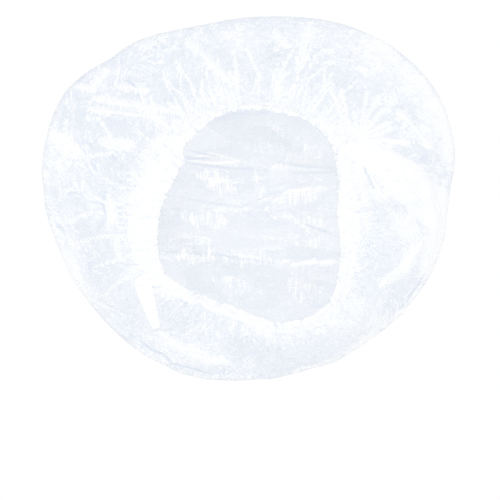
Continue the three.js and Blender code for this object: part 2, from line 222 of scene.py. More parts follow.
def pressed(x, y, folds, striped=0.6):
    """The height and the whiteness that pressed folds give at points in plan."""
    height, whiteness = np.zeros_like(x), np.zeros_like(x)
    for run, half_width, rise, pale in folds:
        away, spot = np.full_like(x, np.inf), np.zeros_like(x)
        for number, ((ax, ay), (bx, by)) in enumerate(zip(run, run[1:])):
            along = ((x - ax) * (bx - ax) + (y - ay) * (by - ay)) / ((bx - ax) ** 2 + (by - ay) ** 2)
            along = np.clip(along, 0, 1)
            near = np.hypot(x - ax - along * (bx - ax), y - ay - along * (by - ay))
            spot = np.where(near < away, (number + along) / (len(run) - 1), spot)
            away = np.minimum(away, near)
        taper = 0.12 + 0.88 * np.sin(math.pi * spot) ** 0.7
        tent = np.clip(1 - away / (half_width * taper), 0, 1)
        stripes = np.abs((away + 0.5 * np.sin(0.3 * x + 0.2 * y)) / STRIPE_WIDTH % 2 - 1)
        height += rise * tent
        whiteness += pale * np.minimum(2.2 * tent, 1) * (1 - striped + striped * stripes)
    return height, whiteness


def bent_run(start, reach, first_way, last_way):
    """The run of a crease with one bend in it, its two halves at angles in degrees."""
    run = [np.asarray(start, float)]
    for degrees in (first_way, last_way):
        way = math.radians(degrees)
        run.append(run[-1] + 0.5 * reach * np.array([math.cos(way), math.sin(way)]))
    return [tuple(point) for point in run]


def star_folds(middle, first, last, count, seed):
    """Sharp creases that run out from an end weld, between two angles in degrees."""
    dice = np.random.RandomState(seed)
    folds = []
    for degrees in np.linspace(first, last, count) + dice.uniform(-4, 4, count):
        reach, lean = dice.uniform(24, 58), dice.uniform(-9, 9)
        run = bent_run(middle, reach, degrees, degrees + lean)
        folds.append((run, dice.uniform(0.9, 1.8), 0.6, dice.uniform(0.08, 0.3)))
    return folds


def hem_fan(first, last, count, seed):
    """Long thin creases that run out from the hem between two angles in degrees."""
    dice = np.random.RandomState(seed)
    folds = []
    for degrees in np.linspace(first, last, count) + dice.uniform(-3, 3, count):
        start = mouth_edge(degrees / 360, around(HEM_WIDTHS, degrees / 360))
        reach, lean = dice.uniform(22, 52), dice.uniform(-34, 34)
        run = bent_run(start, reach, degrees - 0.4 * lean, degrees + lean)
        folds.append((run, dice.uniform(0.6, 1.2), 0.5, dice.uniform(0.06, 0.24)))
    return folds


SKIRT_FOLDS += star_folds((80, 42), -60, 120, 13, 71) + hem_fan(55, 132, 24, 72) + hem_fan(140, 205, 9, 73)

# The crown's pleats lie about 5 degrees off its widest way.
PLEATS_ALONG, PLEATS_ASIDE = 0.996, 0.087
FINE_CELLS = {"cells": 128, "shift": 60}


def crumpled(x, y, length, width, seed, cells=96, shift=40):
    """Facets of a length and a width in plan."""
    return facets(x / length + shift, y / width + shift, cells, seed, cells)


def crown_lift(x, y):
    """How far the crown's pleats and crumples stand up, before it settles on the table."""
    along = PLEATS_ALONG * x + PLEATS_ASIDE * y + 9.0 * np.sin(y / 41.0)
    across = PLEATS_ALONG * y - PLEATS_ASIDE * x
    across = across + 5.0 * np.sin(x / 47.0 + 0.8) + 2.2 * np.sin(x / 19.0 + y / 33.0)
    lift = 1.6 * crumpled(along, across, 78.0, 10.5, 11)
    lift += 0.9 * crumpled(along, across, 33.0, 6.4, 12)
    lift += 0.8 * crumpled(x + 4 * np.sin(y / 13), y + 4 * np.sin(x / 15), 13.0, 9.5, 13)
    lift += 0.34 * crumpled(x + 0.4 * y, y - 0.5 * x, 5.6, 4.6, 14, **FINE_CELLS)
    return lift + pressed(x, y, CROWN_FOLDS + CROWN_PLIES + CROWN_LEAVES)[0]


turn = np.arange(COLUMNS) / COLUMNS
angle = 2 * math.pi * turn
outward = np.stack([np.cos(angle), np.sin(angle)], -1)
rim_reach = around(OUTLINE_RADII, turn) + swellings(OUTLINE_DENTS, turn)
rim_reach += CRINKLE_DEPTH * facets(turn * OUTLINE_CRINKLES, 0 * turn, OUTLINE_CRINKLES, 21)
foot_reach = rim_reach - RIM_RADIUS
hem_width = around(HEM_WIDTHS, turn)
hem_edge = mouth_edge(turn, hem_width)

# Rings of the crown from the middle out: columns, first and last share of the reach, and count.
CROWN_RINGS = [(90, 0.01, 0.125, 11), (180, 0.125, 0.25, 12), (360, 0.25, 0.5, 24), (720, 0.5, 1.0, 48)]
CROWN_STAND = 3.0
CROWN_EDGE_SHARE = 0.86
crown_points, ring_columns = [], []
for columns, low, high, count in CROWN_RINGS:
    skip = COLUMNS // columns
    for share in np.linspace(low, high, count, endpoint=False):
        plan = outward[::skip] * (foot_reach[::skip] * share)[:, None]
        settle = 1 - ease(share, CROWN_EDGE_SHARE, 1.0)
        lift = crown_lift(plan[:, 0], plan[:, 1]) + CROWN_STAND
        crown_points.append(np.column_stack([plan, settle * lift]))
        ring_columns.append(columns)
crown_top = crown_lift(np.zeros(1), np.zeros(1))[0] + CROWN_STAND

# The outer fold and the skirt, ring by ring from the table up to the hem.
rim_turns = np.linspace(0, RIM_TOP_TURN, RIM_STEPS)
climbs = 1 - (1 - np.linspace(0, 1, SKIRT_STEPS + 1)[1:]) ** STEP_CROWDING
tucks = FILM_TUCK_SHARE * np.linspace(0, 1, TUCK_STEPS + 1)[1:]
film_top = HEM_HEIGHT - FILM_BELOW_HEM
rings = []
for rim_turn in rim_turns:
    reach = foot_reach + RIM_RADIUS * math.sin(rim_turn)
    height = np.full(COLUMNS, RIM_RADIUS * (1 - math.cos(rim_turn)))
    rings.append(np.column_stack([outward * reach[:, None], height]))
rim_top = rings[-1]
for step in climbs:
    swell = 1 - (1 - step) ** SKIRT_SWELL
    plan = rim_top[:, :2] + (hem_edge - rim_top[:, :2]) * step
    height = rim_top[:, 2] + (film_top - rim_top[:, 2]) * swell
    rings.append(np.column_stack([plan, height]))
for tuck in tucks:
    plan = mouth_edge(turn, hem_width * (1 - tuck))
    rings.append(np.column_stack([plan, np.full(COLUMNS, film_top)]))
skirt = np.array(rings)
steps = np.linalg.norm(np.diff(skirt, axis=0), axis=2)
from_end = np.vstack([steps[::-1].cumsum(0)[::-1], np.zeros(COLUMNS)])
from_hem = np.maximum(from_end - from_end[-1 - len(tucks)], 0)
climb = 1 - from_hem / from_hem[0]
spin = np.broadcast_to(turn, climb.shape)
twist = 0.011 * sway(spin, climb, (2, 3, 5), 31) * np.minimum(from_hem / 30, 2.2)
bend = 0.004 * sway(spin, 3 * climb, (7, 11), 32)
film_turn = spin + twist + bend
film_reach = from_hem + 5 * sway(spin, climb, (9, 14), 33)


def gathered(count, length, seed, lean=0.0, wander=0.0):
    """Facets of the skirt: a count of them round the cap, each with a length along the film."""
    column = film_turn * count + lean * film_reach
    row = (film_reach + wander * np.sin(film_reach / 9)) / length + 8
    return facets(column, row, count, seed)


# Close pleats at the hem open out into gathers and then billows, with crumples all over.
billow = np.sin(math.pi * np.clip(climb, 0, 1))
calm = 0.35 + 0.65 * ease(climb, 0.02, 0.2)
relief = 1.3 * np.exp(-from_hem / 8) * gathered(200, 15, 41)
relief += 2.6 * np.exp(-from_hem / 26) * (1 - 0.6 * np.exp(-from_hem / 5)) * gathered(92, 27, 42)
relief += 1.8 * billow * gathered(46, 42, 43)
relief += 1.0 * calm * gathered(84, 9.5, 45, wander=3)
relief += 0.42 * calm * gathered(170, 4.8, 46, lean=1 / 6)
fold_height, fold_whiteness = pressed(skirt[..., 0], skirt[..., 1], SKIRT_FOLDS)
skirt_double = pressed(skirt[..., 0], skirt[..., 1], SKIRT_PLIES)[1]
bed = np.minimum(pressed(skirt[..., 0], skirt[..., 1], SEAL_BEDS)[0] * BED_STEEPNESS, 1)
relief = (relief + fold_height * ease(climb, 0.1, 0.4)) * (1 - BED_CALM * bed)
relief *= ease(climb, 0.03, 0.22) * (1 - 0.75 * ease(climb, 0.97, 1.0))
by_ring = np.gradient(skirt, axis=0)
by_column = np.roll(skirt, -1, 1) - np.roll(skirt, 1, 1)
normal = np.cross(by_column, by_ring)
normal /= np.linalg.norm(normal, axis=2, keepdims=True)
skirt = skirt + normal * relief[..., None]

# The slack's broad folds between hem and rim.
slack_step = np.floor(turn * len(SLACK_FOLDS)).astype(int)
slack_from, slack_to = (np.array(SLACK_FOLDS)[(slack_step + k) % len(SLACK_FOLDS)] for k in (0, 1))
slack_part = ease(turn * len(SLACK_FOLDS) - slack_step, 0, 1)
slack = SLACK_DEPTH * (slack_from + (slack_to - slack_from) * slack_part)
from_fold = np.abs((mouth_edge(turn, HEM_MIDDLE) - FOLD_MIDDLE[:2]) @ FOLD_REARWARD[:2])
slack *= ease(from_fold, CALM_START, CALM_END)
level = np.concatenate([np.zeros(len(rim_turns)), climbs, np.ones(len(tucks))])
skirt[..., 2] += np.sin(math.pi * level)[:, None] * slack


def new_piece(name, points, faces):
    """A smooth piece made of points in millimetres and faces."""
    mesh = bpy.data.meshes.new(name)
    mesh.from_pydata((points.reshape(-1, 3) * MM).tolist(), [], faces)
    mesh.shade_smooth()
    piece = bpy.data.objects.new(name, mesh)
    bpy.context.scene.collection.objects.link(piece)
    return piece


# The web's faces, from the crown's middle out and up to the hem. The film lies no lower than the table.
points = np.vstack([[[0.0, 0.0, crown_top]]] + crown_points + list(skirt))
points[:, 2] = np.maximum(points[:, 2], 0.0)
ring_columns += [COLUMNS] * len(skirt)
starts = np.cumsum([1] + ring_columns).tolist()
crown_faces = [(0, 1 + (i + 1) % ring_columns[0], 1 + i) for i in range(ring_columns[0])]
skirt_faces = []
for r in range(len(ring_columns) - 1):
    inner, outer = ring_columns[r], ring_columns[r + 1]
    a, b = starts[r], starts[r + 1]
    faces = crown_faces if r < len(crown_points) else skirt_faces
    for i in range(inner):
        k = (i + 1) % inner
        if inner == outer:
            faces.append((a + i, a + k, b + k, b + i))
        else:
            m = b + 2 * i
            faces.append((a + i, m + 1, m))
            faces.append((a + i, a + k, m + 1))
            faces.append((a + k, b + (2 * i + 2) % outer, m + 1))
film = new_piece("crown_and_skirt_film", points, crown_faces + skirt_faces)

# The film's own directions, in metres: first across its pleats or gathers and then along them.
MOUTH_GIRTH = 500.0
crown_corners = np.concatenate([np.array(face) for face in crown_faces])
crown_ways = points[crown_corners][:, [1, 0]]
columns_at = np.arange(COLUMNS)[None, :, None] + np.array([0, 1, 1, 0])
rows_at = np.arange(len(skirt) - 1)[:, None, None] + np.array([0, 0, 1, 1])
along_hem = np.broadcast_to(columns_at * MOUTH_GIRTH / COLUMNS, (len(skirt) - 1, COLUMNS, 4))
skirt_ways = np.stack([along_hem, from_hem[rows_at, columns_at % COLUMNS]], -1).reshape(-1, 2)
pleat_map = film.data.uv_layers.new(name="pleats")
film_ways = np.vstack([crown_ways, skirt_ways]) * MM
pleat_map.uv.foreach_set("vector", film_ways.astype(np.float32).ravel())

# Creased film turns white and lets less through, and so do bunched gathers beside the hem. The white of the
# creases is also a painted highlight along them.
HEM_HAZE = [
    0.2, 0.35, 0.4, 0.25, 0.1, 0.0, 0.0, 0.0, 0.1, 0.3, 0.25, 0.15,
    0.12, 0.12, 0.2, 0.1, 0.0, 0.0, 0.0, 0.15, 0.15, 0.1, 0.1, 0.15,
]
RIM_HAZE = [
    0.2, 0.2, 0.16, 0.14, 0.06, 0.04, 0.04, 0.08, 0.04, 0.08, 0.06, 0.03,
    0.0, 0.05, 0.18, 0.22, 0.08, 0.0, 0.0, 0.0, 0.05, 0.08, 0.25, 0.0,
]
BEND_SPAN = 1.3
LEAF_RAGGEDNESS = 2.4
CROWN_DRAWN_IN = 0.6
RIM_DOUBLE = 0.3
crown_count = starts[len(crown_points)]
crown_x, crown_y = points[1:crown_count, :2].T
offsets = ((BEND_SPAN, 0), (-BEND_SPAN, 0), (0, BEND_SPAN), (0, -BEND_SPAN))
bends = sum(crown_lift(crown_x + dx, crown_y + dy) for dx, dy in offsets)
bends -= 4 * crown_lift(crown_x, crown_y)
crown_crease = np.insert(np.abs(bends), 0, 0.0)
crown_crease = ease(crown_crease, np.percentile(crown_crease, 50), np.percentile(crown_crease, 97))
crown_white = np.insert(pressed(crown_x, crown_y, CROWN_FOLDS)[1], 0, 0.0)
crown_double = np.insert(pressed(crown_x, crown_y, CROWN_PLIES)[1], 0, 0.0)
ragged = LEAF_RAGGEDNESS * crumpled(crown_x, crown_y, 5, 7, 15, **FINE_CELLS)
crown_leaf = np.insert(pressed(crown_x + ragged, crown_y + ragged, CROWN_LEAVES, striped=0.0)[1], 0, 0.0)
skirt_crease = np.abs(np.roll(relief, 1, 1) + np.roll(relief, -1, 1) - 2 * relief)
skirt_crease[1:-1] += np.abs(relief[2:] + relief[:-2] - 2 * relief[1:-1])
usual, sharp = np.percentile(skirt_crease, (50, 97), axis=1)
sharp = np.maximum(sharp, np.percentile(skirt_crease, 75))
skirt_crease = ease(skirt_crease, usual[:, None], sharp[:, None])
bunch = around(HEM_HAZE, spin) * np.exp(-(from_hem / (7 + 3 * sway(spin, climb, (4, 9), 51))) ** 2)
bunch *= 0.65 + 0.35 * gathered(130, 20, 52)
cloud = ease(gathered(21, 26, 53), -0.4, 0.9)
streaks = 0.45 + 0.55 * ease(gathered(150, 14, 54), -0.5, 0.5)
rim_haze = around(RIM_HAZE, spin) * (1 - ease(climb, 0.05, 0.55)) * (0.4 + 0.9 * cloud)
skirt_white = 0.1 + 0.1 * cloud + rim_haze + ease(climb, 0.02, 0.09) * (bunch + streaks * fold_whiteness)
skirt_double[:RIM_STEPS] = RIM_DOUBLE * np.sin(rim_turns)[:, None] ** 12
crown_plan = points[:crown_count, :2] - (0, MOUTH_MIDDLE_Y)
crown_turn = np.arctan2(crown_plan[:, 1], crown_plan[:, 0]) / (2 * math.pi)
crown_mouth = around(MOUTH_RADII, crown_turn) + swellings(MOUTH_DENTS, crown_turn)
past_hem = np.hypot(*crown_plan.T) - crown_mouth


def store(mesh, name, values):
    """Keeps a value from 0 to 1 at each point of a mesh, for its material to read."""
    kept = mesh.attributes.new(name, "FLOAT", "POINT")
    kept.data.foreach_set("value", np.clip(values, 0, 1).astype(np.float32).ravel())


film_values = {
    "crease": (crown_crease, skirt_crease),
    "whiteness": (crown_white, skirt_white),
    "drawn_in": (CROWN_DRAWN_IN, ease(np.exp(-from_hem / 22), 0.15, 0.9)),
    "flat": (1.0, 0.0),
    "close_pleats": (1 - ease(past_hem, 2, 16), 0.0),
    "double": (crown_double, skirt_double),
    "open_crown": (0.2 + 0.8 * ease(-past_hem, 0, 18), 0.0),
    "leaf": (crown_leaf, 0.0),
}
for name, (on_crown, on_skirt) in film_values.items():
    on_skirt = np.broadcast_to(on_skirt, relief.shape).ravel()
    store(film.data, name, np.concatenate([np.broadcast_to(on_crown, crown_count), on_skirt]))


def node_adder(tree):
    """Empties a node tree and gives a short way to add, set and link its nodes."""
    tree.nodes.clear()

    def add(kind, inputs=None, **settings):
        node = tree.nodes.new(kind)
        for key, value in settings.items():
            setattr(node, key, value)
        for key, value in (inputs or {}).items():
            if isinstance(value, bpy.types.NodeSocket):
                tree.links.new(value, node.inputs[key])
            else:
                node.inputs[key].default_value = value
        return node

    return add


def new_material(name):
    """An empty node material and the way to add its nodes."""
    material = bpy.data.materials.new(name)
    material.use_nodes = True
    return material, node_adder(material.node_tree)


def stored(add, name):
    """A value that the mesh keeps at its points."""
    return add("ShaderNodeAttribute", attribute_name=name).outputs["Fac"]


def noise(add, vector, scale, detail, **settings):
    """A noise with a scale to the metre."""
    inputs = {"Vector": vector, "Scale": scale, "Detail": detail, **settings}
    return add("ShaderNodeTexNoise", inputs).outputs["Fac"]


def stretched(add, vector, scale, shift=(0.0, 0.0, 0.0)):
    """Coordinates drawn together or out along each way, and shifted."""
    return add("ShaderNodeMapping", {"Vector": vector, "Scale": scale, "Location": shift}).outputs[0]


def ranged(add, value, low=0.0, high=1.0, first=0.0, last=1.0):
    """A value between low and high, turned into one between first and last."""
    inputs = {"Value": value, "From Min": low, "From Max": high, "To Min": first, "To Max": last}
    return add("ShaderNodeMapRange", inputs).outputs[0]


def product(add, a, b):
    """One value times another."""
    return add("ShaderNodeMath", {0: a, 1: b}, operation="MULTIPLY").outputs[0]


def weighed(add, *terms):
    """The sum of values, each times its weight."""
    total = 0.0
    for value, weight in terms:
        total = add("ShaderNodeMath", {0: value, 1: weight, 2: total}, operation="MULTIPLY_ADD").outputs[0]
    return total


def either(add, a, b):
    """The greater of two values."""
    return add("ShaderNodeMath", {0: a, 1: b}, operation="MAXIMUM").outputs[0]


def tinted(add, factor, a, b):
    """A colour between two."""
    return add("ShaderNodeMix", {"Factor": factor, "A": a, "B": b}, data_type="RGBA").outputs["Result"]


def thin_lines(add, vector, scale, width):
    """A noise, and the thin branching lines where it crosses its middle value."""
    field = noise(add, vector, scale, 3.0, Roughness=0.6, Distortion=0.7)
    away = add("ShaderNodeMath", {0: field, 1: 0.5}, operation="SUBTRACT").outputs[0]
    away = add("ShaderNodeMath", {0: away}, operation="ABSOLUTE").outputs[0]
    return field, ranged(add, away, high=width, first=1.0, last=0.0)


def lets_light_on(add, density, share):
    """The density, cut to a share for light on its way down: what film scatters goes on through it."""
    rays = add("ShaderNodeLightPath").outputs
    light = either(add, rays["Is Shadow Ray"], rays["Is Diffuse Ray"])
    return product(add, density, ranged(add, light, first=1.0, last=share))


def bumped(add, height, strength, depth):
    """Fine relief, of a depth in metres."""
    return add("ShaderNodeBump", {"Height": height, "Strength": strength, "Distance": depth}).outputs[0]


def glossy_film(add, colour, polish, density, ripple):
    """Finishes the material of film, or of what is sealed from it."""
    inputs = {"Base Color": colour, "Roughness": polish, "Alpha": density, "Normal": ripple, "IOR": FILM_IOR}
    shine = add("ShaderNodeBsdfPrincipled", inputs).outputs[0]
    add("ShaderNodeOutputMaterial", {"Surface": shine})


# The film's colours, and its densities as shares of the light that it stops.
FILM_IOR = 1.5
FILM_BLUE = (0.42, 0.55, 0.735, 1)
FILM_VIOLET = (0.465, 0.545, 0.745, 1)
# The creases' white is the film's own whitening and also a painted highlight.
CREASE_AND_HIGHLIGHT_WHITE = (0.962, 0.975, 0.992, 1)
SKIRT_DENSITY = (0.13, 0.32)
CROWN_DENSITY = (0.11, 0.21)
WHITE_DENSITY = 0.86
FILM_SHADE = 0.25
FILM_POLISH = (0.1, 0.3)
FILM_RIPPLE = 0.0007
# How the gathers, the patches between them and the crazed hatching are drawn out along the film.
GATHER_STRETCH = (1.0, 0.2, 1.0)
PATCH_STRETCH = (1.0, 0.42, 1.0)
HATCH_STRETCH = (0.16, 1.0, 1.0)
# Scales to the metre, and for the fine lines their width in the noise as well.
PLEAT_LINES = (240.0, 0.04)
WRINKLE_LINES = (120.0, 0.025)
CRUMPLE_LINES = (52.0, 0.016)
# The dark strokes are painted shadow lines.
PAINTED_SHADOW_STROKES = (160.0, 0.025)
PATCH_SCALE = 66.0
HATCH_SCALE = 480.0
MOTTLE_SCALE = 95.0
PATCH_WANDER = 0.008
SHADOW_STROKE_SHIFT = (0.3, 0.1, 0.0)

film_look, add = new_material("clear_blue_film")
place = add("ShaderNodeTexCoord").outputs["Object"]
ways = add("ShaderNodeUVMap", uv_map="pleats").outputs[0]
creased = stored(add, "crease")
pale = stored(add, "whiteness")
lying = stored(add, "flat")
twice = stored(add, "double")
drawn = stretched(add, ways, GATHER_STRETCH)
pleats, pleat_lines = thin_lines(add, drawn, *PLEAT_LINES)
pleat_lines = product(add, pleat_lines, stored(add, "drawn_in"))
wrinkles, wrinkle_lines = thin_lines(add, place, *WRINKLE_LINES)
crumple_lines = thin_lines(add, place, *CRUMPLE_LINES)[1]

# Patches of film with wandering borders, hatched where the pleats have crazed.
wander = add("ShaderNodeTexNoise", {"Vector": place, "Scale": 60.0, "Detail": 2.0}).outputs["Color"]
shift = add("ShaderNodeVectorMath", {0: wander, "Scale": PATCH_WANDER}, operation="SCALE").outputs[0]
broad = stretched(add, ways, PATCH_STRETCH)
broad = add("ShaderNodeVectorMath", {0: broad, 1: shift}, operation="ADD").outputs[0]
patches = add("ShaderNodeTexVoronoi", {"Vector": broad, "Scale": PATCH_SCALE}).outputs["Color"]
patch = add("ShaderNodeSeparateColor", {0: patches}).outputs
hatch = noise(add, stretched(add, ways, HATCH_STRETCH), HATCH_SCALE, 3.0, Distortion=0.9)
hatch = ranged(add, hatch, 0.4, 0.66, first=0.15)
leaves = product(add, ranged(add, patch[0], 0.45, 0.75), hatch)
crazed = product(add, stored(add, "leaf"), hatch)
crown_leaves = weighed(add, (leaves, 0.12), (crazed, 0.4))
crown_leaves = product(add, crown_leaves, stored(add, "open_crown"))

# Thin painted shadow strokes, in some parts only, for the shade where gathers stand on edge.
aside = stretched(add, drawn, (1.0, 1.0, 1.0), SHADOW_STROKE_SHIFT)
painted_shadow_strokes = thin_lines(add, aside, *PAINTED_SHADOW_STROKES)[1]
shadow_stroke_mask = ranged(add, noise(add, place, 64.0, 2.0), 0.47, 0.6)
painted_shadow_strokes = product(add, painted_shadow_strokes, shadow_stroke_mask)

# How white the film is, from which its colour and its density follow. The white is the film's own whitening
# at creases and crazing, and partly a painted highlight along creases and fine lines. Painted shadow strokes
# take from it.
fine_lines_and_highlights = weighed(add, (pleat_lines, 0.16), (wrinkle_lines, 0.14), (crumple_lines, 0.16))
fineness = ranged(add, lying, first=1.0, last=0.5)
flat_creases = product(add, creased, lying)
white = weighed(add, (pale, 1.0), (creased, 0.36), (flat_creases, -0.24), (fine_lines_and_highlights, fineness),
                (leaves, 0.06), (crown_leaves, 1.0), (twice, -0.5), (painted_shadow_strokes, -0.2))
tint = add("ShaderNodeMath", {0: white, 1: 3.0}, operation="MULTIPLY", use_clamp=True).outputs[0]
hue = ranged(add, noise(add, place, 38.0, 2.0), 0.4, 0.6)
colour = tinted(add, tint, tinted(add, hue, FILM_BLUE, FILM_VIOLET), CREASE_AND_HIGHLIGHT_WHITE)
mottle = noise(add, place, MOTTLE_SCALE, 4.0, Roughness=0.65)
mottle = ranged(add, mottle, 0.3, 0.7, *SKIRT_DENSITY)
panes = ranged(add, patch[1], 0.0, 1.0, *CROWN_DENSITY)
mottle = add("ShaderNodeMix", {"Factor": lying, "A": mottle, "B": panes}).outputs["Result"]
clear = weighed(add, (mottle, 1.0), (stored(add, "close_pleats"), 0.14), (twice, 0.16), (painted_shadow_strokes, 0.06))
density = lets_light_on(add, ranged(add, white, first=clear, last=WHITE_DENSITY), FILM_SHADE)
polish = ranged(add, wrinkles, 0.0, 1.0, *FILM_POLISH)
crisp = ranged(add, lying, first=0.6, last=0.25)
ripple = bumped(add, weighed(add, (pleats, 1.0), (wrinkles, 0.8)), crisp, FILM_RIPPLE)
glossy_film(add, colour, polish, density, ripple)
film.data.materials.append(film_look)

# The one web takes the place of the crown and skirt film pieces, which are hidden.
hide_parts("rear_crown_film", "front_crown_film", "rear_skirt_film", "front_skirt_film")
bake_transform(film)

# Each elastic is a white rubber thread, 2 mm thick, that runs from end weld to end weld.
# It lies loose in the bend of its hem and is held only where it is fused in at the welds.
THREAD_RADIUS = 1.0
THREAD_INSET = 2.2
THREAD_SIDES = 12
THREAD_STEPS = 260
RUBBER_GREY = (0.84, 0.85, 0.86, 1)
RUBBER_WHITE = (0.93, 0.93, 0.93, 1)
RUBBER_POLISH = (0.55, 0.8)
RUBBER_GRAIN = 900.0
# The welds' places round the mouth, and how far each thread ends from them, in turns.
RIGHT_WELD_TURN = 36.0 / 360
LEFT_WELD_TURN = 209.4 / 360
THREAD_END = 0.004
HALVES = {"rear": (RIGHT_WELD_TURN, LEFT_WELD_TURN), "front": (LEFT_WELD_TURN, RIGHT_WELD_TURN + 1)}


def tube_faces(rows, sides):
    """The faces of a closed tube of rows of points, with both its ends."""
    faces = []
    for r in range(rows - 1):
        a, b = r * sides, (r + 1) * sides
        for k in range(sides):
            m = (k + 1) % sides
            faces.append((a + k, a + m, b + m, b + k))
    last = (rows - 1) * sides
    faces.append(tuple(range(sides))[::-1])
    faces.append(tuple(range(last, last + sides)))
    return faces


def tube(name, path, radius, sides):
    """A closed tube along a path."""
    ahead = np.gradient(path, axis=0)
    ahead /= np.linalg.norm(ahead, axis=1, keepdims=True)
    side = np.cross(ahead, [0, 0, 1])
    side /= np.linalg.norm(side, axis=1, keepdims=True)
    rise = np.cross(side, ahead)
    turns = 2 * math.pi * np.arange(sides) / sides
    ring = side[:, None] * np.cos(turns)[:, None] + rise[:, None] * np.sin(turns)[:, None]
    return new_piece(name, path[:, None] + radius * ring, tube_faces(len(path), sides))


rubber, add = new_material("white_rubber")
place = add("ShaderNodeTexCoord").outputs["Object"]
grain = noise(add, place, RUBBER_GRAIN, 3.0)
colour = tinted(add, grain, RUBBER_GREY, RUBBER_WHITE)
matt = ranged(add, grain, 0.0, 1.0, *RUBBER_POLISH)
rough = bumped(add, grain, 0.4, 0.0002)
body = add("ShaderNodeBsdfPrincipled", {"Base Color": colour, "Roughness": matt, "Normal": rough})
add("ShaderNodeOutputMaterial", {"Surface": body.outputs[0]})
for half, (start, end) in HALVES.items():
    plan = mouth_edge(np.linspace(start + THREAD_END, end - THREAD_END, THREAD_STEPS), THREAD_INSET)
    path = np.column_stack([plan, np.full(THREAD_STEPS, HEM_HEIGHT)])
    thread = tube(f"{half}_elastic", path, THREAD_RADIUS, THREAD_SIDES)
    thread.data.materials.append(rubber)
    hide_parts(f"{half}_elastic_thread")
    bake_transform(thread)

# Each hem is the film's own edge, folded inward over its thread and sealed to itself in a line.
# The thread draws it into close gathers, so it looks near white and stands in a soft frill.
HEM_STEPS = 620
HEM_SIDES = 44
HEM_ROLL = 1.7
HEM_FRILL = 0.12
SHARP_BEND = 0.5
HEM_SHARP_ANGLE = math.radians(80)
# Gathers, frills and crinkles to a turn of the mouth.
HEM_GATHERS = 210
HEM_FINE_GATHERS = 430
HEM_SLOW_GATHERS = 64
HEM_FRILLS = 75
EDGE_CRINKLES = 230
EDGE_SCALLOPS = 110
# The hem's shade colour is painted shade, for the valleys between gathers.
HEM_SHADE = (0.8, 0.835, 0.895, 1)
GATHER_WHITE = (0.975, 0.978, 0.985, 1)
HEM_DENSITY = (0.9, 1.0)
OPEN_DENSITY = 0.4
GATHER_SHADE = 0.4
HEM_POLISH = (0.15, 0.4)
HEM_LINES = (330.0, 0.05)
# How far the gathers open out towards the hem's outer edge, at even turns.
HEM_OPENING = [
    0.25, 0.4, 0.5, 0.7, 0.9, 1.0, 1.0, 1.0, 0.8, 0.5, 0.25, 0.2,
    0.2, 0.2, 0.2, 0.15, 0.15, 0.15, 0.25, 0.4, 0.4, 0.25, 0.2, 0.2,
]

hem_look, add = new_material("gathered_film")
place = add("ShaderNodeTexCoord").outputs["Object"]
creased = stored(add, "crease")
painted_valley_shade = stored(add, "painted_valley_shade")
wrinkles, lines = thin_lines(add, place, *HEM_LINES)
white = weighed(add, (creased, 0.5), (lines, 0.35), (1.0, 0.5), (painted_valley_shade, -0.85))
colour = tinted(add, white, HEM_SHADE, GATHER_WHITE)
shut = ranged(add, white, 0.0, 1.0, *HEM_DENSITY)
density = ranged(add, stored(add, "opening"), first=shut, last=OPEN_DENSITY)
polish = ranged(add, wrinkles, 0.0, 1.0, *HEM_POLISH)
ripple = bumped(add, wrinkles, 0.5, 0.0005)
glossy_film(add, colour, polish, lets_light_on(add, density, GATHER_SHADE), ripple)


def film_below(turn, outside, width):
    """How far the film lies above the hem's level, at distances outside the mouth's edge."""
    spot = turn % 1.0 * COLUMNS
    low = np.floor(spot).astype(int)
    part = spot - low
    levels = np.empty(outside.shape)
    for r, (a, share) in enumerate(zip(low[:, 0], part[:, 0])):
        a, b = a % COLUMNS, (a + 1) % COLUMNS
        reach = (1 - share) * from_end[::-1, a] + share * from_end[::-1, b]
        level = (1 - share) * skirt[::-1, a, 2] + share * skirt[::-1, b, 2]
        levels[r] = np.interp(outside[r] - (1 - FILM_TUCK_SHARE) * width[r], reach, level)
    return levels - HEM_HEIGHT


